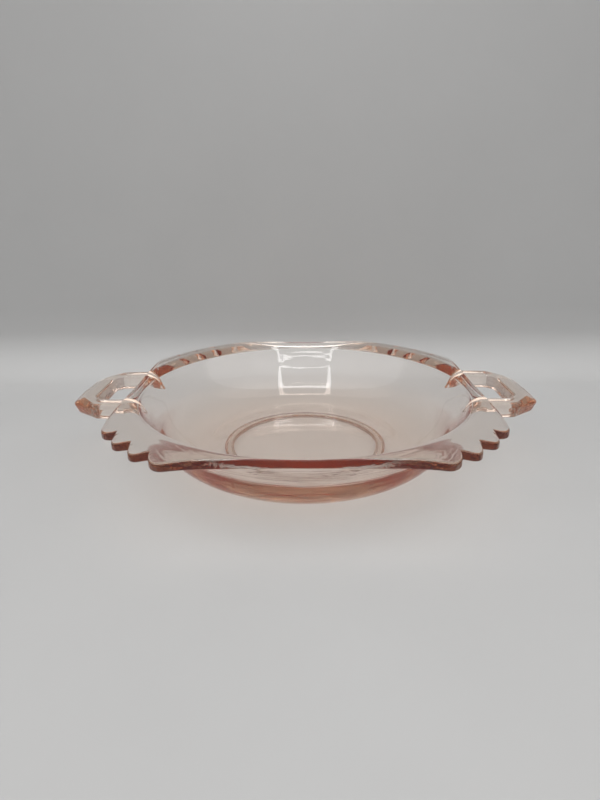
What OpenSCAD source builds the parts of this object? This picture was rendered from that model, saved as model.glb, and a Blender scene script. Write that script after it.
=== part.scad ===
// Pressed glass candy dish: a round bowl with a rim cut to four straight sides,
// serrated corners between them, and an open loop handle at each end.
// The origin is the centre of the foot's resting face, +Z is up and the handles lie along X.

/* [Bowl] */
// Distance across two opposite straight sides of the rim
flat_span = 170; // [166:1:174]
// Height from the table to the top of the rim
dish_h = 38; // [36:0.5:41]
// Thickness of the wall at the rim
wall_t = 2.4; // [2.2:0.1:2.8]
// Thickness of the floor above the foot ring
floor_t = 4.8; // [4.6:0.1:5.2]
// Lean of the outside of the wall, measured from level
wall_angle = 62; // [61:0.5:63]
// Lean of the inside of the wall, which thins the wall towards the rim
inner_angle = 60; // [59:0.5:61]
// Outside radius of the curved heel between floor and wall
heel_r = 28.4; // [27.4:0.2:29.4]
// Inside radius of the same heel
inner_heel_r = 33; // [32:0.5:34]

/* [Rim] */
// Thickness of the rim
rim_t = 4.1; // [3.5:0.1:4.4]
// How far the straight sides stand out past the top of the wall
rim_overhang = 2.3; // [1.5:0.1:3]
// Radius of the roll where the inside of the wall turns out into the rim
roll_r = 9; // [9:0.2:9.6]
// Radius at which the corners of the rim start to droop
droop_start = 90; // [88:0.5:92]
// Radius of the droop on top of the rim, seen in section
droop_r = 24; // [22:1:30]
// Radius of the droop under the rim, which leaves the edge thinner than the rest
under_droop_r = 37; // [32:1:45]

/* [Scallops] */
// Distance from the dish's axis to the sharp notches between scallops
notch_r = 96.1; // [95:0.1:97]
// Angle that one scallop spans at the dish's axis
scallop_step = 7.9; // [7.6:0.1:8]
// Rounding of a full scallop's tip
tip_round = 4.5; // [3:0.1:5.5]
// Rounding of the half scallop at each end of a straight side
end_round = 6.8; // [6:0.1:7.2]

/* [Foot] */
// Diameter over the foot ring at the table
foot_d = 81.2; // [76:0.2:86]
// Height of the foot ring
foot_h = 2.3; // [1.5:0.1:3]
// Width of the resting face of the foot ring
foot_w = 2.4; // [2:0.1:3.5]

/* [Handles] */
// Length over both handles
handle_span = 225; // [222:1:229]
// Drop from the top of the rim to the top of a handle
handle_drop = 1.6; // [1.2:0.1:2]
// Thickness of a handle
handle_t = 7.6; // [7:0.1:8]
// Half the width of a handle at its root
handle_root = 27; // [26:0.5:29]
// Half the width of the finger hole
finger_half = 17.5; // [15:0.5:18]
// Thickness of the grip bar, from the finger hole to the tip
grip_w = 12; // [11:0.5:12.5]

/* [Hidden] */
$fn = 96;

pale_pink = "#e9c4b6";
rim_pink = "#c98a76";
handle_pink = "#e2b3a2";

half_flat = flat_span / 2;
rim_under = dish_h - rim_t;
arc_steps = 12;

// Wall: the outside face is a heel arc and then a straight line up to the rim
wall_top_r = half_flat - rim_overhang;
heel_centre_z = foot_h + heel_r;
heel_end_z = heel_centre_z - heel_r * cos(wall_angle);
heel_start_r = wall_top_r - (rim_under - heel_end_z) / tan(wall_angle) - heel_r * sin(wall_angle);
heel_centre = [heel_start_r, heel_centre_z];
wall_dir = [sin(wall_angle), -cos(wall_angle)];

// Inside face: placed by the wall's thickness at the rim and the floor's thickness
floor_z = foot_h + floor_t;
inner_dir = [sin(inner_angle), -cos(inner_angle)];
inner_top = [wall_top_r, rim_under] - wall_t * wall_dir;
inner_centre_z = floor_z + inner_heel_r;
inner_across = inner_heel_r - (inner_centre_z - inner_top.y) * cos(inner_angle);
inner_centre = [inner_top.x - inner_across / sin(inner_angle), inner_centre_z];

// Roll: an arc that leaves the inside of the wall and ends level with the rim's top
roll_centre_z = dish_h - roll_r;
roll_start_z = roll_centre_z + roll_r * cos(inner_angle);
roll_start_r = inner_top.x + (roll_start_z - inner_top.y) / tan(inner_angle);
roll_centre_r = roll_start_r + roll_r * sin(inner_angle);
roll_start_a = 90 + inner_angle;
roll_centre = [roll_centre_r, roll_centre_z];
roll_split_a = 180 - asin((rim_under - roll_centre_z) / roll_r);

// Rim: wide enough in section to hold the tips of the scallops
rim_outer_r = notch_r + 8;
droop_end_a = 90 - asin((rim_outer_r - droop_start) / droop_r);
under_end_a = 90 - asin((rim_outer_r - droop_start) / under_droop_r);

// Scallops of one corner: two full ones between three notches, and a rounded half one at each end
half_chord = notch_r * sin(scallop_step / 2);
seat_depth = 2;
seat_r = notch_r - seat_depth;
tip_centre_r = notch_r * cos(scallop_step / 2) + half_chord - tip_round * sqrt(2);
end_notch = notch_r * [cos(45 + scallop_step), sin(45 + scallop_step)];
end_y = half_flat - end_round;
end_x = end_notch.x - sqrt(pow(end_round, 2) - pow(end_notch.y - end_y, 2));
end_notch_a = atan2(end_notch.y - end_y, end_notch.x - end_x);

// Handles
handle_top = dish_h - handle_drop;
handle_base = handle_top - handle_t;
handle_tip = handle_span / 2;
edge_share = 0.68;
handle_edge_z = handle_base + edge_share * handle_t;
root_r = 7;
knuckle_r = 3.5;
corner_r = 4;
root_x = half_flat - 6;
knuckle = [half_flat + 12, handle_root - 1 - knuckle_r];
corner = [handle_tip - corner_r - 0.9, handle_root - 12];
grip_tip = [handle_tip - corner_r, 0];
facet_w = 3.5;
hole_reach = handle_tip - grip_w;
hole_corner_r = 5;

// Gussets: the inner ends of the handle arms, which taper to a fin under the rim
gusset_w = 6;
gusset_fin_w = 1;
gusset_reach = 12;
gusset_drop = 0.8;

function arc(centre, r, a0, a1, steps = arc_steps) =
    [for (i = [0 : steps]) let (a = a0 + (a1 - a0) * i / steps) centre + r * [cos(a), sin(a)]];

function turn(p, quarter) =
    quarter == 0 ? p
    : turn([-p.y, p.x], quarter - 1);

// Section of the heel, which turns up from the floor to the lean of the wall
module heel_section() {
    polygon(concat(
        [[inner_centre.x, foot_h]],
        arc(heel_centre, heel_r, -90, wall_angle - 90),
        arc(inner_centre, inner_heel_r, inner_angle - 90, -90)));
}

// Section of the straight wall, from the heel to the underside of the rim
module wall_section() {
    polygon(concat(
        [heel_centre + heel_r * wall_dir],
        [[wall_top_r, rim_under]],
        arc(roll_centre, roll_r, roll_split_a, roll_start_a, 1),
        [inner_centre + inner_heel_r * inner_dir]));
}

// Section of the rim, from the roll to past the tips of the scallops
module rim_section() {
    top_centre = [droop_start, dish_h - droop_r];
    under_centre = [droop_start, rim_under - under_droop_r];
    polygon(concat(
        arc(roll_centre, roll_r, roll_split_a, 90, 8),
        arc(top_centre, droop_r, 90, droop_end_a, 8),
        arc(under_centre, under_droop_r, under_end_a, 90, 8)));
}

// Half of one corner's outline, from the end of the straight side on Y to the notch at 45 degrees
function half_corner() = concat(
    arc([end_x, end_y], end_round, 90, end_notch_a, 6),
    scallop_tip(45 + scallop_step / 2),
    [notch_r * [cos(45), sin(45)]]);

// Rounded tip of a full scallop, whose flanks meet at a right angle
function scallop_tip(at) = arc(tip_centre_r * [cos(at), sin(at)], tip_round, at + 45, at - 45, 5);

function corner_outline() = let (half = half_corner())
    concat([for (p = half) [p.y, p.x]], [for (i = [len(half) - 2 : -1 : 0]) half[i]]);

// Line that the scallops of one corner stand on, just inside the notches
function seats() =
    [for (i = [1, 0, -1]) seat_r * [cos(45 + i * scallop_step), sin(45 + i * scallop_step)]];

// Plan of the rim without its scallops
module rim_plan() {
    one = concat([[end_x, half_flat]], seats(), [[half_flat, end_x]]);
    polygon([for (q = [0 : 3]) for (i = [len(one) - 1 : -1 : 0]) turn(one[i], q)]);
}

// Plan of the scallops of the corner between +X and +Y
module scallop_plan() {
    polygon(concat(corner_outline(), seats()));
}

// Everything inside the outer face of the dish, solid
module dish_envelope() {
    rotate_extrude()
        polygon(concat(
            [[0, foot_h]],
            arc(heel_centre, heel_r, -90, wall_angle - 90),
            [[wall_top_r, rim_under], [0, rim_under]]));
    translate([0, 0, rim_under])
        linear_extrude(rim_t) square(flat_span, center = true);
}

module bowl_floor() {
    color(pale_pink)
        translate([0, 0, foot_h]) cylinder(h = floor_t, r = inner_centre.x);
}

module foot_ring() {
    foot_r = foot_d / 2;
    flare = 0.7;
    color(rim_pink)
        rotate_extrude()
            polygon([
                [foot_r - foot_w, 0],
                [foot_r, 0],
                [foot_r + flare, foot_h],
                [foot_r - foot_w - flare, foot_h]]);
}

module bowl_heel() {
    color(pale_pink) rotate_extrude() heel_section();
}

module bowl_wall() {
    color(pale_pink) rotate_extrude() wall_section();
}

module rim_flange() {
    color(rim_pink)
        intersection() {
            rotate_extrude() rim_section();
            linear_extrude(dish_h + 1) rim_plan();
        }
}

module scallops(turn_a) {
    color(rim_pink)
        rotate([0, 0, turn_a])
            intersection() {
                rotate_extrude() rim_section();
                linear_extrude(dish_h + 1) scallop_plan();
            }
}

// Thin disc that sets one rounded corner of the handle at one height
module handle_disc(p, r, z) {
    disc_h = 0.4;
    translate([p.x, p.y, z]) cylinder(h = disc_h, r = r, $fn = 32);
}

// Solid handle: level on top along its arms, with a facet down to an edge round the grip
module handle_blank() {
    disc_h = 0.4;
    root_y = handle_root - root_r;
    top_z = handle_top - disc_h;
    hull() {
        for (s = [-1, 1]) {
            handle_disc([root_x, s * root_y], root_r, handle_edge_z);
            handle_disc([root_x, s * root_y], root_r - 0.5, top_z);
            handle_disc([root_x, s * root_y], root_r - 1, handle_base);
            handle_disc([knuckle.x, s * knuckle.y], knuckle_r, handle_edge_z);
            handle_disc([knuckle.x, s * knuckle.y], knuckle_r - 0.7, top_z);
            handle_disc([knuckle.x, s * knuckle.y], knuckle_r - 1, handle_base);
            handle_disc([corner.x, s * corner.y], corner_r, handle_edge_z);
            handle_disc([corner.x - facet_w, s * corner.y], corner_r / 2, top_z);
            handle_disc([corner.x, s * corner.y], corner_r / 2, handle_base);
        }
        handle_disc(grip_tip, corner_r, handle_edge_z);
        handle_disc(grip_tip, corner_r / 2, handle_base);
    }
}

// Plan of the finger hole, which runs in under the rim
module finger_hole_plan() {
    start_x = half_flat - 20;
    corner_x = hole_reach - hole_corner_r;
    corner_y = finger_half - hole_corner_r;
    translate([start_x, -finger_half]) square([corner_x - start_x, 2 * finger_half]);
    translate([start_x, -corner_y]) square([hole_reach - start_x, 2 * corner_y]);
    for (s = [-1, 1]) translate([corner_x, s * corner_y]) circle(r = hole_corner_r);
}

module handle(side) {
    color(handle_pink)
        rotate([0, 0, side > 0 ? 0 : 180])
            difference() {
                handle_blank();
                translate([0, 0, handle_base - 1]) linear_extrude(handle_t + 2) finger_hole_plan();
                translate([0, -flat_span / 2, handle_base - 1]) cube([half_flat, flat_span, handle_t + 2]);
            }
}

// Inner end of one handle arm: it fills the corner between the wall and the underside of the rim
module gusset(side_x, side_y) {
    tail_x = half_flat - gusset_reach;
    mirror([side_x > 0 ? 0 : 1, 0, 0])
        mirror([0, side_y > 0 ? 0 : 1, 0])
            color(handle_pink)
                difference() {
                    intersection() {
                        translate([0, finger_half + gusset_w, 0])
                            rotate([90, 0, 0])
                                linear_extrude(gusset_w)
                                    polygon([
                                        [tail_x, rim_under],
                                        [tail_x, handle_base - gusset_drop],
                                        [half_flat, handle_base],
                                        [half_flat, rim_under]]);
                        translate([0, finger_half, handle_base - 2])
                            linear_extrude(handle_t)
                                polygon([
                                    [tail_x, 0],
                                    [half_flat, 0],
                                    [half_flat, gusset_w],
                                    [tail_x, gusset_fin_w]]);
                    }
                    dish_envelope();
                }
}

bowl_floor();
foot_ring();
bowl_heel();
bowl_wall();
rim_flange();
scallops(0);  // scallops_back_right
scallops(90);  // scallops_back_left
scallops(180);  // scallops_front_left
scallops(270);  // scallops_front_right
handle(-1);  // handle_left
handle(1);  // handle_right
gusset(-1, -1);  // gusset_front_left
gusset(1, -1);  // gusset_front_right
gusset(-1, 1);  // gusset_back_left
gusset(1, 1);  // gusset_back_right
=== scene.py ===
"""Pressed pink glass dish with two finger-loop handles, on a pale table in front of a pale backdrop."""

import math

import bmesh
import bpy
from mathutils import Matrix, Vector

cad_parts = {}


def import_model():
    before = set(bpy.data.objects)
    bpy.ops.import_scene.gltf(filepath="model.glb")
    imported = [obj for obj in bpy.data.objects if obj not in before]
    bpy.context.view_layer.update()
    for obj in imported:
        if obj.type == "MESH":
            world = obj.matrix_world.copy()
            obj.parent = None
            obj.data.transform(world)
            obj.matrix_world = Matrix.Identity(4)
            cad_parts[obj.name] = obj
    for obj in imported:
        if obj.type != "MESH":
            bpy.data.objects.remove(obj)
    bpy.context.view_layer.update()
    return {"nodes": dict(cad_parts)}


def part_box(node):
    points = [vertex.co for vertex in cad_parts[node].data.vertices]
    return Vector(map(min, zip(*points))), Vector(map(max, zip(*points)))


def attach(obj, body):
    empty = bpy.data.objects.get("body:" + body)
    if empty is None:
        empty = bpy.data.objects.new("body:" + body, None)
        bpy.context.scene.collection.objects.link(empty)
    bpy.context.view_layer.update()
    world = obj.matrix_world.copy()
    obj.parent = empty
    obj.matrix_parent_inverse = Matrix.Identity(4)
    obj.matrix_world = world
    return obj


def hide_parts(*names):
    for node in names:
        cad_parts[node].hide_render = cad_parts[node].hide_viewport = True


MM = 0.001

# Dish section, in millimetres
WALL_LEAN = math.radians(62)
INNER_LEAN = math.radians(60)
HEEL_R = 28.4
INNER_HEEL_R = 33.0
FLOOR_T = 4.8
WALL_TOP_T = 2.4
RIM_OVERHANG = 2.3
ROLL_R = 9.0
DROOP_START = 90.0
DROOP_R = 24.0
UNDER_DROOP_R = 37.0
TOP_ROUND = 0.8
UNDER_ROUND = 0.8
CORNER_FILLET = 1.0
FOOT_ROUND = 0.5
RIM_T = 4.1
FOOT_W = 2.4
FOOT_FLARE = 0.7

# Scalloped corners of the rim, in millimetres and degrees
NOTCH_R = 96.1
SCALLOP_STEP = 7.9
TIP_ROUND = 4.5
END_ROUND = 6.8

# Handles, in millimetres
FINGER_HALF = 17.5
GRIP_W = 12.0
HOLE_CORNER_R = 5.0
EDGE_SHARE = 0.68

# Marks of the mould in the glass, and where painted brown shade goes, in metres
STRAIGHT_REACH = 0.0855
CORNER_REACH = 0.0925
RIM_REACH = 0.0842
TIP_REACH = 0.099
HANDLE_HALF = 0.030
FOOT_TOP = 0.0022
RIPPLE_HEIGHT = 0.00006


# ---------------------------------------------------------------- plan and section geometry

def arc(centre, radius, start, end, steps):
    """Points on a circle, angles in degrees."""
    points = []
    for i in range(steps + 1):
        a = math.radians(start + (end - start) * i / steps)
        points.append((centre[0] + radius * math.cos(a), centre[1] + radius * math.sin(a)))
    return points


def between(a, b, count):
    """Points spaced evenly after a, up to and including b."""
    return [tuple(p + (q - p) * i / count for p, q in zip(a, b)) for i in range(1, count + 1)]


def rounded(corners, steps):
    """A polyline with each corner (x, y, radius) replaced by an arc of the same number of steps."""
    points = []
    count = len(corners)
    for i, (x, y, radius) in enumerate(corners):
        corner = Vector((x, y))
        if not radius:
            points += [(x, y)] * (steps + 1)
            continue
        back = (Vector(corners[i - 1][:2]) - corner).normalized()
        ahead = (Vector(corners[(i + 1) % count][:2]) - corner).normalized()
        half = back.angle(ahead) / 2
        reach = radius / math.tan(half)
        middle = corner + (back + ahead).normalized() * (radius / math.sin(half))
        start = corner + back * reach - middle
        turn = start.angle_signed(corner + ahead * reach - middle)
        for k in range(steps + 1):
            points.append(tuple(middle + Matrix.Rotation(-turn * k / steps, 2) @ start))
    return points


def scalloped_quarter(half_flat):
    """A quarter of the rim's outline: the corner between +X and +Y, then the straight side on +Y."""
    step = math.radians(SCALLOP_STEP)
    notch = Vector((NOTCH_R, 0))
    half_chord = NOTCH_R * math.sin(step / 2)
    tip_r = NOTCH_R * math.cos(step / 2) + half_chord - TIP_ROUND * math.sqrt(2)
    end_notch = Matrix.Rotation(math.radians(45) + step, 2) @ notch
    middle_notch = Matrix.Rotation(math.radians(45), 2) @ notch
    end_y = half_flat - END_ROUND
    end_x = end_notch.x - math.sqrt(END_ROUND ** 2 - (end_notch.y - end_y) ** 2)
    end_a = math.degrees(math.atan2(end_notch.y - end_y, end_notch.x - end_x))
    half = arc((end_x, end_y), END_ROUND, 90, end_a, 16)
    tip_a = 45 + SCALLOP_STEP / 2
    tip_centre = Matrix.Rotation(math.radians(tip_a), 2) @ Vector((tip_r, 0))
    tip = arc(tip_centre, TIP_ROUND, tip_a + 45, tip_a - 45, 12)
    half += between(half[-1], tip[0], 4) + tip[1:] + between(tip[-1], tuple(middle_notch), 4)
    corner = [(y, x) for x, y in half] + half[-2::-1]
    first = math.atan2(half_flat, end_x)
    sweep = math.pi - 2 * first
    side = []
    count = 60
    for i in range(1, count):
        a = first + sweep * i / count
        side.append((half_flat / math.tan(a), half_flat))
    return corner + side


def scalloped_outline(half_flat):
    """The rim's outline in plan, anticlockwise, the same in each quarter."""
    quarter = scalloped_quarter(half_flat)
    points = []
    for turn in range(4):
        for x, y in quarter:
            for _ in range(turn):
                x, y = -y, x
            points.append((x, y))
    return points


class Section:
    """The dish's section, from the middle of its floor over the rim to the middle of its underside.

    Each point is (root radius, share of the way from there to the outline, inset from the outline,
    height, weight of the curve of the rim's top, weight of the curve of its underside).
    """

    def __init__(self, half_flat, top_z, under_z, foot_z, foot_r, foot_inner_r):
        self.half_flat = half_flat
        self.top_z = top_z
        self.under_z = under_z
        self.foot_z = foot_z
        self.foot_r = foot_r
        self.foot_inner_r = foot_inner_r
        self.wall_top_r = half_flat - RIM_OVERHANG
        self.heel_z = foot_z + HEEL_R
        heel_end_z = self.heel_z - HEEL_R * math.cos(WALL_LEAN)
        rise = (under_z - heel_end_z) / math.tan(WALL_LEAN)
        self.heel_r = self.wall_top_r - rise - HEEL_R * math.sin(WALL_LEAN)
        self.outer_end = (self.heel_r + HEEL_R * math.sin(WALL_LEAN), heel_end_z)
        wall_r = self.wall_top_r - WALL_TOP_T * math.sin(WALL_LEAN)
        wall_z = under_z + WALL_TOP_T * math.cos(WALL_LEAN)
        self.floor_z = foot_z + FLOOR_T
        self.inner_z = self.floor_z + INNER_HEEL_R
        across = INNER_HEEL_R - (self.inner_z - wall_z) * math.cos(INNER_LEAN)
        self.inner_r = wall_r - across / math.sin(INNER_LEAN)
        self.inner_end = (
            self.inner_r + INNER_HEEL_R * math.sin(INNER_LEAN),
            self.inner_z - INNER_HEEL_R * math.cos(INNER_LEAN),
        )
        roll_start_z = top_z - ROLL_R + ROLL_R * math.cos(INNER_LEAN)
        roll_start_r = wall_r + (roll_start_z - wall_z) / math.tan(INNER_LEAN)
        self.roll_start = (roll_start_r, roll_start_z)
        self.roll_r = roll_start_r + ROLL_R * math.sin(INNER_LEAN)

    def points(self):
        lean = math.degrees(WALL_LEAN)
        inner_lean = math.degrees(INNER_LEAN)
        points = []

        def fixed(pairs):
            points.extend((r, 0.0, 0.0, z, 0.0, 0.0) for r, z in pairs)

        fixed([(self.inner_r * k / 12, self.floor_z) for k in range(12)])
        fixed(arc((self.inner_r, self.inner_z), INNER_HEEL_R, -90, inner_lean - 90, 16))
        fixed(between(self.inner_end, self.roll_start, 6)[:-1])
        lip_r = self.roll_start[0] + 1.4
        for (r,) in [self.roll_start[:1]] + between(self.roll_start[:1], (lip_r,), 3):
            points.append((r, 0.0, 0.0, self.top_z, 1.0, 0.0))
        edge = 2 * TOP_ROUND
        for k in range(1, 15):
            points.append((lip_r, k / 14, edge * k / 14, self.top_z, 1.0, 0.0))
        for k in range(0, 7):
            a = math.radians(90 * k / 6)
            inset = TOP_ROUND * (1 - math.sin(a))
            drop = TOP_ROUND * (1 - math.cos(a))
            points.append((lip_r, 1.0, inset, self.top_z - drop, 1.0, 0.0))
        high = self.top_z - TOP_ROUND
        low = self.under_z + UNDER_ROUND
        for k in range(1, 4):
            points.append((lip_r, 1.0, 0.0, high + (low - high) * k / 4, 1 - k / 4, k / 4))
        root_r = self.wall_top_r + CORNER_FILLET / math.tan(math.radians(90 - 0.5 * lean))
        for k in range(0, 7):
            a = math.radians(90 * k / 6)
            inset = UNDER_ROUND * (1 - math.cos(a))
            rise = UNDER_ROUND * (1 - math.sin(a))
            points.append((root_r, 1.0, inset, self.under_z + rise, 0.0, 1.0))
        for k in range(7, 0, -1):
            points.append((root_r, k / 8, UNDER_ROUND * k / 8, self.under_z, 0.0, 1.0))
        self.wall_and_foot(fixed)
        return points

    def wall_and_foot(self, fixed):
        lean = math.degrees(WALL_LEAN)
        corners = [
            (self.half_flat + 40, self.under_z, 0.0),
            (self.wall_top_r, self.under_z, CORNER_FILLET),
            (self.outer_end[0], self.outer_end[1], 0.0),
        ]
        fillet = rounded(corners, 5)[6:12]
        fixed(fillet)
        fixed(between(fillet[-1], self.outer_end, 7)[:-1])
        fixed(arc((self.heel_r, self.heel_z), HEEL_R, lean - 90, -90, 18))
        foot = [
            (self.heel_r, self.foot_z, 0.0),
            (self.foot_r + FOOT_FLARE, self.foot_z, FOOT_ROUND),
            (self.foot_r, 0.0, FOOT_ROUND),
            (self.foot_inner_r, 0.0, FOOT_ROUND),
            (self.foot_inner_r - FOOT_FLARE, self.foot_z, FOOT_ROUND),
            (0.0, self.foot_z, 0.0),
        ]
        ring = rounded(foot, 4)[5:25]
        fixed(between((self.heel_r, self.foot_z), ring[0], 3)[:-1])
        fixed(ring)
        fixed([(ring[-1][0] * k / 8, self.foot_z) for k in range(7, -1, -1)])

    def mid_wall_r(self, z):
        """Radius of the middle of the sloping wall at a height."""
        middle = 0.5 * WALL_TOP_T / math.sin(WALL_LEAN)
        return self.wall_top_r - middle - (self.under_z - z) / math.tan(WALL_LEAN)


# ---------------------------------------------------------------- small mesh helpers

def mesh_object(name, vertices, faces, edges=()):
    mesh = bpy.data.meshes.new(name)
    mesh.from_pydata([tuple(v) for v in vertices], list(edges), faces)
    mesh.update()
    thing = bpy.data.objects.new(name, mesh)
    bpy.context.scene.collection.objects.link(thing)
    return thing


def final_mesh(thing, name):
    """The thing with its modifiers applied, as a new plain mesh."""
    bpy.context.view_layer.update()
    graph = bpy.context.evaluated_depsgraph_get()
    mesh = bpy.data.meshes.new_from_object(thing.evaluated_get(graph))
    mesh.name = name
    result = bpy.data.objects.new(name, mesh)
    bpy.context.scene.collection.objects.link(result)
    return result


def remove(*things):
    for thing in things:
        bpy.data.objects.remove(thing)


def face_outwards(thing):
    work = bmesh.new()
    work.from_mesh(thing.data)
    bmesh.ops.recalc_face_normals(work, faces=work.faces)
    if work.calc_volume(signed=True) < 0:
        bmesh.ops.reverse_faces(work, faces=work.faces)
    work.to_mesh(thing.data)
    work.free()


# ---------------------------------------------------------------- node tree helpers

class Tree:
    """A thin layer over a node tree that makes sums short to write."""

    def __init__(self, tree):
        self.tree = tree

    def node(self, kind, **settings):
        made = self.tree.nodes.new(kind)
        for key, value in settings.items():
            setattr(made, key, value)
        return made

    def link(self, source, target):
        if hasattr(source, "is_output"):
            self.tree.links.new(source, target)
        else:
            target.default_value = source

    def math(self, operation, a, b=None):
        made = self.node("ShaderNodeMath", operation=operation)
        self.link(a, made.inputs[0])
        if b is not None:
            self.link(b, made.inputs[1])
        return made.outputs[0]

    def vector(self, operation, a, b=None, scale=None):
        made = self.node("ShaderNodeVectorMath", operation=operation)
        self.link(a, made.inputs[0])
        if b is not None:
            self.link(b, made.inputs[1])
        if scale is not None:
            self.link(scale, made.inputs["Scale"])
        return made

    def split(self, vector):
        made = self.node("ShaderNodeSeparateXYZ")
        self.link(vector, made.inputs[0])
        return made.outputs

    def noise(self, place, scale, detail, roughness=0.5):
        made = self.node("ShaderNodeTexNoise")
        self.link(place, made.inputs["Vector"])
        made.inputs["Scale"].default_value = scale
        made.inputs["Detail"].default_value = detail
        made.inputs["Roughness"].default_value = roughness
        return made.outputs["Fac"]

    def ramp(self, value, start, end, low, high, kind="LINEAR"):
        """Low up to the start and high from the end on, with a slope of that kind between them."""
        made = self.node("ShaderNodeMapRange", interpolation_type=kind)
        self.link(value, made.inputs["Value"])
        made.inputs["From Min"].default_value = start
        made.inputs["From Max"].default_value = end
        made.inputs["To Min"].default_value = low
        made.inputs["To Max"].default_value = high
        return made.outputs[0]

    def mixed(self, share, first, second):
        """The first shader, with a share of the second."""
        made = self.node("ShaderNodeMixShader")
        self.link(share, made.inputs[0])
        self.link(first, made.inputs[1])
        self.link(second, made.inputs[2])
        return made.outputs[0]

    def arc_fall(self, radius, reach):
        """How far an arc of that radius has fallen at a reach beyond its level point."""
        past = self.math("MAXIMUM", reach, 0.0)
        square = self.math("SUBTRACT", self.math("POWER", radius, 2.0), self.math("POWER", past, 2.0))
        return self.math("SUBTRACT", radius, self.math("SQRT", square))


# ---------------------------------------------------------------- the dish

LOFT_SIZES = (
    "Roll Radius", "Roll Centre", "Droop Start", "Droop Radius", "Under Droop Radius",
)


def loft_tree(material):
    """Sweeps the section round the axis, and lets its rim follow the scalloped outline."""
    group = bpy.data.node_groups.new("dish_loft", "GeometryNodeTree")
    face = group.interface
    face.new_socket("Section", in_out="INPUT", socket_type="NodeSocketGeometry")
    face.new_socket("Outline", in_out="INPUT", socket_type="NodeSocketObject")
    for name in ("Points Around", "Points Along"):
        face.new_socket(name, in_out="INPUT", socket_type="NodeSocketInt")
    for name in LOFT_SIZES:
        face.new_socket(name, in_out="INPUT", socket_type="NodeSocketFloat")
    face.new_socket("Dish", in_out="OUTPUT", socket_type="NodeSocketGeometry")
    tree = Tree(group)
    given = tree.node("NodeGroupInput").outputs
    around = given["Points Around"]
    along = given["Points Along"]

    grid = tree.node("GeometryNodeMeshGrid")
    tree.link(tree.math("ADD", around, 1.0), grid.inputs["Vertices X"])
    tree.link(along, grid.inputs["Vertices Y"])
    index = tree.node("GeometryNodeInputIndex").outputs[0]
    column = tree.math("FLOOR", tree.math("DIVIDE", index, along))
    row = tree.math("SUBTRACT", index, tree.math("MULTIPLY", column, along))

    def sampled(geometry, value, at):
        made = tree.node("GeometryNodeSampleIndex", data_type="FLOAT_VECTOR", domain="POINT")
        tree.link(geometry, made.inputs["Geometry"])
        tree.link(value, made.inputs["Value"])
        tree.link(at, made.inputs["Index"])
        return made.outputs["Value"]

    def attribute(name):
        made = tree.node("GeometryNodeInputNamedAttribute", data_type="FLOAT_VECTOR")
        made.inputs["Name"].default_value = name
        return made.outputs["Attribute"]

    plan = tree.node("GeometryNodeObjectInfo")
    tree.link(given["Outline"], plan.inputs["Object"])
    position = tree.node("GeometryNodeInputPosition").outputs[0]
    wrapped = tree.math("MODULO", column, around)
    outline = sampled(plan.outputs["Geometry"], position, wrapped)
    root, share, inset = tree.split(sampled(given["Section"], attribute("reach"), row))
    height, top, under = tree.split(sampled(given["Section"], attribute("level"), row))

    outline_r = tree.vector("LENGTH", outline).outputs["Value"]
    spread = tree.math("MULTIPLY", share, tree.math("SUBTRACT", outline_r, root))
    radius = tree.math("SUBTRACT", tree.math("ADD", root, spread), inset)
    roll = tree.arc_fall(given["Roll Radius"], tree.math("SUBTRACT", given["Roll Centre"], radius))
    past = tree.math("SUBTRACT", radius, given["Droop Start"])
    droop = tree.arc_fall(given["Droop Radius"], past)
    under_droop = tree.arc_fall(given["Under Droop Radius"], past)
    top_fall = tree.math("MULTIPLY", top, tree.math("ADD", roll, droop))
    fall = tree.math("ADD", top_fall, tree.math("MULTIPLY", under, under_droop))

    heading = tree.vector("NORMALIZE", outline).outputs["Vector"]
    flat = tree.vector("SCALE", heading, scale=radius).outputs["Vector"]
    lift = tree.node("ShaderNodeCombineXYZ")
    tree.link(tree.math("SUBTRACT", height, fall), lift.inputs["Z"])
    place = tree.vector("ADD", flat, lift.outputs[0]).outputs["Vector"]

    moved = tree.node("GeometryNodeSetPosition")
    tree.link(grid.outputs["Mesh"], moved.inputs["Geometry"])
    tree.link(place, moved.inputs["Position"])
    welded = tree.node("GeometryNodeMergeByDistance")
    tree.link(moved.outputs[0], welded.inputs["Geometry"])
    welded.inputs["Distance"].default_value = 0.001 * MM
    smooth = tree.node("GeometryNodeSetShadeSmooth")
    tree.link(welded.outputs[0], smooth.inputs["Geometry"])
    real = tree.node("GeometryNodeRealizeInstances")
    tree.link(smooth.outputs[0], real.inputs[0])
    coat = tree.node("GeometryNodeSetMaterial")
    coat.inputs["Material"].default_value = material
    tree.link(real.outputs[0], coat.inputs["Geometry"])
    tree.link(coat.outputs[0], tree.node("NodeGroupOutput").inputs[0])
    return group


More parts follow.
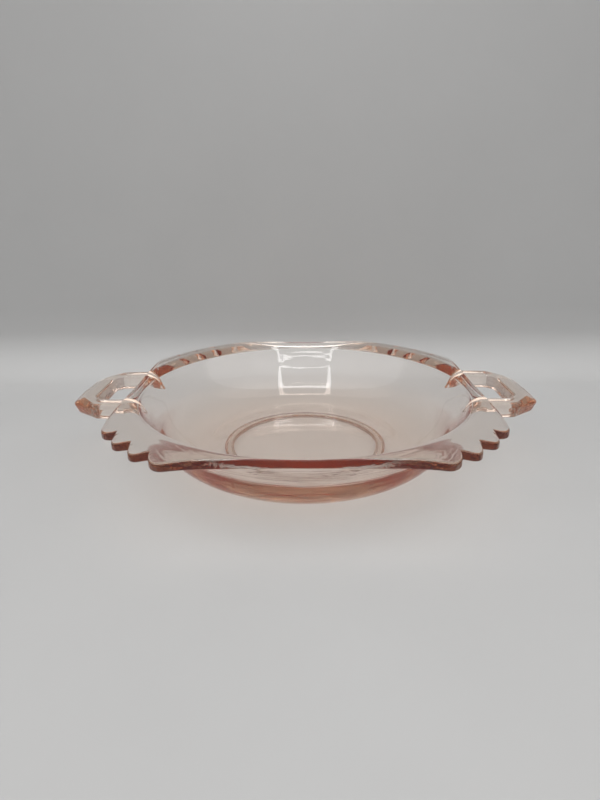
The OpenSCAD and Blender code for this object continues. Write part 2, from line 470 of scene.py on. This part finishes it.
def swept_dish(section, outline, material):
    """The dish without its handles."""
    plan = mesh_object("rim_plan", [(x * MM, y * MM, 0) for x, y in outline], [])
    points = section.points()
    profile = mesh_object("dish_profile", [(p[0] * MM, 0, p[3] * MM) for p in points], [])
    reach = profile.data.attributes.new("reach", "FLOAT_VECTOR", "POINT")
    level = profile.data.attributes.new("level", "FLOAT_VECTOR", "POINT")
    for i, (root, share, inset, height, top, under) in enumerate(points):
        reach.data[i].vector = (root * MM, share, inset * MM)
        level.data[i].vector = (height * MM, top, under)
    group = loft_tree(material)
    modifier = profile.modifiers.new("dish_loft", "NODES")
    modifier.node_group = group
    values = {
        "Outline": plan,
        "Points Around": len(outline),
        "Points Along": len(points),
        "Roll Radius": ROLL_R * MM,
        "Roll Centre": section.roll_r * MM,
        "Droop Start": DROOP_START * MM,
        "Droop Radius": DROOP_R * MM,
        "Under Droop Radius": UNDER_DROOP_R * MM,
    }
    for item in group.interface.items_tree:
        if item.item_type == "SOCKET" and item.name in values:
            modifier[item.identifier] = values[item.name]
    dish = final_mesh(profile, "dish_body")
    remove(profile, plan)
    face_outwards(dish)
    return dish


# ---------------------------------------------------------------- the handles

def disc_outline(discs):
    """Convex outline round discs (x, y, radius) and their mirror images across the X axis."""
    points = []
    for x, y, radius in discs:
        for side in (1, -1):
            points += arc((x, side * y), radius, 0, 357, 119)
    points = sorted(set(points))
    hull = []
    for run in (points, points[::-1]):
        part = []
        for p in run:
            while len(part) > 1:
                (ax, ay), (bx, by) = part[-2:]
                if (bx - ax) * (p[1] - ay) - (by - ay) * (p[0] - ax) > 0:
                    break
                part.pop()
            part.append(p)
        hull += part[:-1]
    return hull


def reach_to(hull, start, heading):
    """Distance from start along heading to where it leaves a convex outline."""
    best = 0.0
    for i, (bx, by) in enumerate(hull):
        ax, ay = hull[i - 1]
        across = heading[0] * (by - ay) - heading[1] * (bx - ax)
        if abs(across) < 1e-12:
            continue
        t = ((ax - start[0]) * (by - ay) - (ay - start[1]) * (bx - ax)) / across
        s = ((ax - start[0]) * heading[1] - (ay - start[1]) * heading[0]) / across
        if -1e-9 <= s <= 1 + 1e-9:
            best = max(best, t)
    return best


class HandleForm:
    """Sizes of one handle, seen on the +X side, in millimetres."""

    def __init__(self, tip_x, top_z, base_z, half_flat, root_y):
        self.top_z = top_z
        self.base_z = base_z
        self.edge_z = base_z + EDGE_SHARE * (top_z - base_z)
        self.hole_x = tip_x - GRIP_W
        root = (half_flat - 6, root_y - 7)
        knuckle = (half_flat + 12, root_y - 4.5)
        corner = (tip_x - 4.9, root_y - 12)
        self.edge = disc_outline([(*root, 7), (*knuckle, 3.5), (*corner, 4), (tip_x - 4, 0, 4)])
        self.top = disc_outline([(*root, 6.5), (*knuckle, 2.8), (corner[0] - 3.5, corner[1], 2)])
        self.base = disc_outline([(*root, 6), (*knuckle, 2.5), (*corner, 2), (tip_x - 4, 0, 2)])

    def stations(self):
        """Points round the finger hole with the direction that the section faces, tail to tail."""
        hub = (self.hole_x - HOLE_CORNER_R, FINGER_HALF - HOLE_CORNER_R)
        half = [((x, FINGER_HALF), (0.0, 1.0)) for x in (86.5, 88.5, 90.5, 92.5, 94.0)]
        turns = 22
        for k in range(turns + 1):
            a = math.radians(90 - 90 * k / turns)
            way = (math.cos(a), math.sin(a))
            half.append(((hub[0] + HOLE_CORNER_R * way[0], hub[1] + HOLE_CORNER_R * way[1]), way))
        half += [((self.hole_x, y), (1.0, 0.0)) for y in (11.0, 9.0, 6.5, 4.0, 2.0)]
        middle = [((self.hole_x, 0.0), (1.0, 0.0))]
        mirrored = [((x, -y), (dx, -dy)) for (x, y), (dx, dy) in reversed(half)]
        return half + middle + mirrored

    def section(self, start, heading):
        top = reach_to(self.top, start, heading)
        edge = reach_to(self.edge, start, heading)
        base = reach_to(self.base, start, heading)
        return [
            (0.0, self.base_z, 1.1),
            (0.0, self.top_z, 1.2),
            (top, self.top_z, 0.9),
            (edge, self.edge_z, 1.2),
            (base, self.base_z, 1.1),
        ]


# Tail of an arm under the rim: (x, outer y, top z below the handle's top, base z below its base)
ARM_TAIL = (
    (80.0, 20.4, 0.5, 0.7),
    (81.5, 22.0, 0.2, 0.5),
    (83.0, 23.9, 0.0, 0.3),
    (84.5, 25.8, 0.0, 0.1),
)
TAIL_END_Y = 18.9
TAIL_TOP_DROP = 1.1
TAIL_BASE_DROP = 0.8
STRIP = 3


def full_ring(corners):
    """A section's rounded corners, with the flats between them cut into strips."""
    steps = 4
    points = rounded(corners, steps)
    ring = []
    for i, p in enumerate(points):
        ring.append(p)
        if i % (steps + 1) == steps:
            ring += between(p, points[(i + 1) % len(points)], STRIP)[:-1]
    return ring


def tail_rings(form, section):
    """Rings of one arm's tail, from inside the wall outwards."""
    corners = [
        (FINGER_HALF, form.base_z - TAIL_BASE_DROP, 0.35),
        (FINGER_HALF, form.top_z - TAIL_TOP_DROP, 0.35),
        (TAIL_END_Y, form.top_z - TAIL_TOP_DROP, 0.25),
        (TAIL_END_Y, form.top_z - 3.5, 0.25),
        (TAIL_END_Y, form.base_z - TAIL_BASE_DROP, 0.35),
    ]
    rings = []
    end = []
    for y, z in full_ring(corners):
        end.append((math.sqrt(section.mid_wall_r(z) ** 2 - y * y), y, z))
    rings.append(end)
    for x, outer, top_drop, base_drop in ARM_TAIL:
        top = form.top_z - top_drop
        base = form.base_z - base_drop
        corners = [
            (FINGER_HALF, base, 0.5),
            (FINGER_HALF, top, 0.5),
            (outer - 0.4, top, 0.4),
            (outer, form.edge_z, 0.4),
            (outer - 0.6, base, 0.5),
        ]
        rings.append([(x, y, z) for y, z in full_ring(corners)])
    return rings


def handle_mesh(form, section, side, name):
    """One closed handle, with tails that end inside the wall."""
    tails = tail_rings(form, section)
    rings = list(tails)
    for start, heading in form.stations():
        ring = []
        for w, z in full_ring(form.section(start, heading)):
            ring.append((start[0] + heading[0] * w, start[1] + heading[1] * w, z))
        rings.append(ring)
    rings += [[(x, -y, z) for x, y, z in ring] for ring in reversed(tails)]
    count = len(rings[0])
    vertices = [(side * x * MM, side * y * MM, z * MM) for ring in rings for x, y, z in ring]
    faces = []
    for i in range(len(rings) - 1):
        for j in range(count):
            k = (j + 1) % count
            faces.append((i * count + j, i * count + k, (i + 1) * count + k, (i + 1) * count + j))
    faces.append(tuple(range(count)))
    faces.append(tuple(range(len(vertices) - 1, len(vertices) - count - 1, -1)))
    thing = mesh_object(name, vertices, faces)
    face_outwards(thing)
    return thing


def fused(dish, parts, name):
    """The dish and its handles as one closed skin."""
    for part in parts:
        modifier = dish.modifiers.new(part.name, "BOOLEAN")
        modifier.operation = "UNION"
        modifier.solver = "MANIFOLD"
        modifier.object = part
    whole = final_mesh(dish, name)
    remove(dish, *parts)
    work = bmesh.new()
    work.from_mesh(whole.data)
    bmesh.ops.remove_doubles(work, verts=work.verts, dist=0.002 * MM)
    bmesh.ops.dissolve_degenerate(work, dist=0.002 * MM, edges=work.edges)
    bmesh.ops.triangulate(work, faces=[f for f in work.faces if len(f.verts) > 4])
    open_edges = sum(1 for e in work.edges if not e.is_manifold)
    print("dish skin:", len(work.faces), "faces,", open_edges, "open edges")
    work.to_mesh(whole.data)
    work.free()
    for polygon in whole.data.polygons:
        polygon.use_smooth = True
    whole.data.set_sharp_from_angle(angle=math.radians(38))
    return whole


# ---------------------------------------------------------------- materials

def new_material(name):
    material = bpy.data.materials.new(name)
    material.use_nodes = True
    material.node_tree.nodes.clear()
    return material, Tree(material.node_tree)


def upright_masks(tree, place, facing):
    """Masks of three sets of upright faces: round the rim, round the handles' tips, and on the foot.

    The mould leaves these narrow faces grainy, and painted dark brown shade goes on them, standing in for
    the dark colour that long light paths through the tinted glass show there.
    Also gives the distance from the dish's axis.
    """
    x, y, z = tree.split(place)
    square = tree.math("ADD", tree.math("MULTIPLY", x, x), tree.math("MULTIPLY", y, y))
    reach = tree.math("SQRT", square)
    upright = tree.math("LESS_THAN", tree.math("ABSOLUTE", facing), 0.6)
    off_handles = tree.math("GREATER_THAN", tree.math("ABSOLUTE", y), HANDLE_HALF)
    on_handles = tree.math("SUBTRACT", 1.0, off_handles)
    on_rim = tree.math("MULTIPLY", tree.math("GREATER_THAN", reach, RIM_REACH), off_handles)
    on_tip = tree.math("MULTIPLY", tree.math("GREATER_THAN", reach, TIP_REACH), on_handles)
    on_foot = tree.math("LESS_THAN", z, FOOT_TOP)
    masks = [tree.math("MULTIPLY", part, upright) for part in (on_rim, on_tip, on_foot)]
    return *masks, reach


def painted_brown_shade(tree, masks, seen_directly):
    """How strongly painted dark brown shade goes on the upright faces: most on the foot and on the
    scalloped corners.
    """
    rim, tip, foot, reach = masks
    # painted dark brown shade: weaker on the straight sides, full on the scalloped corners, half on the
    # handles' tips, 15 % outside camera rays, 75 % on the foot
    corner = tree.ramp(reach, STRAIGHT_REACH, CORNER_REACH, 0.18, 1.0)
    painted_shade_and_grain = tree.math("MAXIMUM", tree.math("MULTIPLY", rim, corner), tree.math("MULTIPLY", tip, 0.5))
    painted_shade_and_grain = tree.math("MULTIPLY", painted_shade_and_grain, tree.math("MAXIMUM", seen_directly, 0.15))
    return tree.math("MAXIMUM", painted_shade_and_grain, tree.math("MULTIPLY", foot, 0.75))


def surface_waves(tree, place, facing, painted_shade_and_grain):
    """Normal of the glass: soft ripples, flow lines that are stronger outside, and grainy edges."""
    ripple = tree.noise(place, 55.0, 2.0, 0.45)
    stretch = tree.node("ShaderNodeMapping")
    stretch.inputs["Scale"].default_value = (9.0, 9.0, 170.0)
    tree.link(place, stretch.inputs["Vector"])
    flow = tree.noise(stretch.outputs[0], 1.0, 3.0, 0.55)
    outside = tree.math("MULTIPLY", tree.math("LESS_THAN", facing, 0.0), 4.5)
    lines = tree.math("MULTIPLY", flow, tree.math("ADD", outside, 1.2))
    grain = tree.noise(place, 620.0, 1.0)
    # the grain on the upright faces is as strong as the painted brown shade there
    cut = tree.math("MULTIPLY", tree.math("MULTIPLY", painted_shade_and_grain, 14.0), grain)
    bump = tree.node("ShaderNodeBump")
    bump.inputs["Strength"].default_value = 1.0
    bump.inputs["Distance"].default_value = RIPPLE_HEIGHT
    tree.link(tree.math("ADD", tree.math("ADD", ripple, lines), cut), bump.inputs["Height"])
    return bump.outputs["Normal"]


def surface_haze(tree, place, rim):
    """Roughness of the glass: a faint haze, scuffs on the resting face and a mould's grain on the rim."""
    haze = tree.noise(place, 420.0, 4.0)
    worn = tree.ramp(tree.split(place)[2], 0.0007, 0.0, 0.0, 0.35)
    rough = tree.math("ADD", tree.math("MULTIPLY", worn, haze), tree.math("MULTIPLY", haze, 0.02))
    return tree.math("ADD", rough, tree.math("MULTIPLY", rim, 0.07))


def pink_glass():
    """Pale peach-pink pressed glass, tinted through its depth, with soft ripples, a worn foot and painted
    dark brown shade on its upright faces.
    """
    material, tree = new_material("pressed_pink_glass")
    place = tree.node("ShaderNodeTexCoord").outputs["Object"]
    facing = tree.split(tree.node("ShaderNodeNewGeometry").outputs["Normal"])[2]
    light_path = tree.node("ShaderNodeLightPath").outputs
    masks = upright_masks(tree, place, facing)
    # strength of the painted dark brown shade on the upright faces, full only in camera rays; it also
    # sets their grain
    painted_shade_and_grain = painted_brown_shade(tree, masks, light_path["Is Camera Ray"])
    colour = tree.node("ShaderNodeMix", data_type="RGBA")
    tree.link(painted_shade_and_grain, colour.inputs[0])
    colour.inputs[6].default_value = (1.0, 1.0, 1.0, 1.0)
    # painted shade: dark brown standing in for the colour that long light paths through the tinted glass
    # show on the upright faces
    colour.inputs[7].default_value = (0.16, 0.045, 0.022, 1.0)

    body = tree.node("ShaderNodeBsdfPrincipled")
    tree.link(colour.outputs[2], body.inputs["Base Color"])
    body.inputs["IOR"].default_value = 1.52
    body.inputs["Transmission Weight"].default_value = 1.0
    tree.link(surface_haze(tree, place, masks[0]), body.inputs["Roughness"])
    tree.link(surface_waves(tree, place, facing, painted_shade_and_grain), body.inputs["Normal"])
    clear = tree.node("ShaderNodeBsdfTransparent")
    shadow = tree.math("MULTIPLY", light_path["Is Shadow Ray"], 0.95)
    tint = tree.node("ShaderNodeVolumeAbsorption")
    tint.inputs["Color"].default_value = (0.84, 0.44, 0.13, 1.0)
    tint.inputs["Density"].default_value = 30.0
    out = tree.node("ShaderNodeOutputMaterial")
    tree.link(tree.mixed(shadow, body.outputs[0], clear.outputs[0]), out.inputs["Surface"])
    tree.link(tint.outputs[0], out.inputs["Volume"])
    return material


def pale_sheet():
    """Matt pale card of the table and backdrop, faintly mottled, with painted shade that dims it higher
    up, and clear when seen from behind.
    """
    material, tree = new_material("pale_card")
    place = tree.node("ShaderNodeTexCoord").outputs["Object"]
    shade = tree.ramp(tree.noise(place, 14.0, 5.0), 0.0, 1.0, 0.49, 0.53)
    # painted shade: the card dimmed to 0.84 above 5 cm, standing in for the light falling off on the
    # backdrop
    painted_falloff = tree.ramp(tree.split(place)[2], 0.0, 0.05, 1.0, 0.84)
    tone_and_painted_falloff = tree.math("MULTIPLY", shade, painted_falloff)
    colour = tree.node("ShaderNodeCombineColor")
    for channel in ("Red", "Green", "Blue"):
        tree.link(tone_and_painted_falloff, colour.inputs[channel])
    body = tree.node("ShaderNodeBsdfPrincipled")
    tree.link(colour.outputs[0], body.inputs["Base Color"])
    body.inputs["Roughness"].default_value = 0.6
    behind = tree.node("ShaderNodeNewGeometry").outputs["Backfacing"]
    clear = tree.node("ShaderNodeBsdfTransparent")
    out = tree.node("ShaderNodeOutputMaterial")
    tree.link(tree.mixed(behind, body.outputs[0], clear.outputs[0]), out.inputs["Surface"])
    return material


# ---------------------------------------------------------------- table, light and camera

def sweep_sheet(material):
    """Table that curves up into a backdrop behind the dish, and the table beyond the backdrop."""
    reach = 4.0
    bend_y = 0.110
    bend_r = 0.032
    path = [(-reach, 0.0), (-0.4, 0.0), (0.0, 0.0)]
    path += [(bend_y + x, z) for x, z in arc((0.0, bend_r), bend_r, -90, 0, 16)]
    path += [(bend_y + bend_r, 0.5), (bend_y + bend_r, 1.6)]
    vertices = [(x, y, z) for y, z in path for x in (-reach, reach)]
    faces = [(2 * i, 2 * i + 1, 2 * i + 3, 2 * i + 2) for i in range(len(path) - 1)]
    sheet = mesh_object("table_sheet", vertices, faces)
    for polygon in sheet.data.polygons:
        polygon.use_smooth = True
    low = -0.0002
    corners = [(-reach, bend_y, low), (reach, bend_y, low), (reach, reach, low), (-reach, reach, low)]
    beyond = mesh_object("table_beyond", corners, [(0, 1, 2, 3)])
    for part in (sheet, beyond):
        part.data.materials.append(material)


def area_light(name, place, target, size, power, colour=(1.0, 1.0, 1.0)):
    lamp = bpy.data.lights.new(name, "AREA")
    lamp.shape = "RECTANGLE"
    lamp.size, lamp.size_y = size
    lamp.energy = power
    lamp.color = colour
    holder = bpy.data.objects.new(name, lamp)
    bpy.context.scene.collection.objects.link(holder)
    holder.location = place
    aim = Vector(target) - Vector(place)
    holder.rotation_euler = aim.to_track_quat("-Z", "Y").to_euler()
    return holder


def strip_light(name, a, b, width, power):
    """Thin lamp from a to b that shines downwards."""
    a, b = Vector(a), Vector(b)
    along = (b - a).normalized()
    down = Vector((0, 0, -1))
    down = (down - along * down.dot(along)).normalized()
    across = down.cross(along)
    lamp = area_light(name, (a + b) / 2, (a + b) / 2 + down, ((b - a).length, width), power)
    lamp.rotation_euler = Matrix((along, across, -down)).transposed().to_euler()
    if along.cross(across).dot(-down) < 0:
        lamp.rotation_euler = Matrix((along, -across, -down)).transposed().to_euler()
    return lamp


def studio_light():
    world = bpy.data.worlds.new("soft_room")
    bpy.context.scene.world = world
    world.use_nodes = True
    world.node_tree.nodes.clear()
    tree = Tree(world.node_tree)
    up = tree.split(tree.node("ShaderNodeTexCoord").outputs["Generated"])[2]
    sky = tree.node("ShaderNodeBackground")
    sky.inputs["Color"].default_value = (1.0, 0.995, 0.985, 1.0)
    strength = tree.ramp(up, 0.0, 0.8, 0.24, 1.36, "SMOOTHSTEP")
    tree.link(strength, sky.inputs["Strength"])
    tree.link(sky.outputs[0], tree.node("ShaderNodeOutputWorld").inputs["Surface"])
    area_light("ceiling_panel", (0.0, -0.25, 0.95), (0.0, 0.0, 0.0), (1.5, 1.1), 1.0)
    frame_z = 0.42
    watts_per_area = 20.0
    corners = [(-0.06, 0.05), (0.06, 0.05), (0.16, -0.31), (-0.16, -0.31)]
    for i, width in enumerate((0.030, 0.016, 0.012, 0.016)):
        a = (*corners[i], frame_z)
        b = (*corners[(i + 1) % 4], frame_z)
        length = (Vector(a) - Vector(b)).length
        strip_light(f"frame_strip_{i}", a, b, width, watts_per_area * width * length)


def camera():
    lens = bpy.data.cameras.new("camera")
    lens.sensor_width = 36.0
    lens.lens = 24.04
    lens.clip_start = 0.01
    holder = bpy.data.objects.new("camera", lens)
    bpy.context.scene.collection.objects.link(holder)
    pitch = math.radians(20.54)
    yaw = math.radians(-0.565)
    roll = math.radians(-0.42)
    forward = Vector((
        math.sin(yaw) * math.cos(pitch),
        math.cos(yaw) * math.cos(pitch),
        -math.sin(pitch),
    ))
    right = Vector((math.cos(yaw), -math.sin(yaw), 0.0))
    up = right.cross(forward)
    side = right * math.cos(roll) + up * math.sin(roll)
    top = up * math.cos(roll) - right * math.sin(roll)
    turn = Matrix((side, top, -forward)).transposed()
    holder.matrix_world = Matrix.Translation((0.00014, -0.2561, 0.1248)) @ turn.to_4x4()
    bpy.context.scene.camera = holder


# ---------------------------------------------------------------- assembly

def millimetres(box):
    return [[value / MM for value in corner] for corner in box]


def glass_dish(frame, material):
    high = millimetres(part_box("rim_flange"))[1]
    foot_high = millimetres(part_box("foot_ring"))[1]
    handle_low, handle_high = millimetres(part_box("handle_right"))
    half_flat = round(high[1], 3)
    top_z = round(high[2], 3)
    under_z = top_z - RIM_T
    foot_z = round(foot_high[2], 3)
    foot_r = round(foot_high[0], 3) - FOOT_FLARE
    section = Section(half_flat, top_z, under_z, foot_z, foot_r, foot_r - FOOT_W)
    dish = swept_dish(section, scalloped_outline(half_flat), material)
    form = HandleForm(handle_high[0], handle_high[2], handle_low[2], half_flat, handle_high[1])
    right = handle_mesh(form, section, 1, "handle_right_form")
    left = handle_mesh(form, section, -1, "handle_left_form")
    whole = fused(dish, [right, left], "glass_dish")
    whole.data.materials.clear()
    whole.data.materials.append(material)
    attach(whole, "root")
    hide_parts(*frame["nodes"])
    return whole


def main():
    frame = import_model()
    glass_dish(frame, pink_glass())
    sweep_sheet(pale_sheet())
    studio_light()
    camera()
    scene = bpy.context.scene
    scene.view_settings.view_transform = "Standard"
    scene.cycles.max_bounces = 128
    scene.cycles.transmission_bounces = 128
    scene.cycles.glossy_bounces = 128


main()
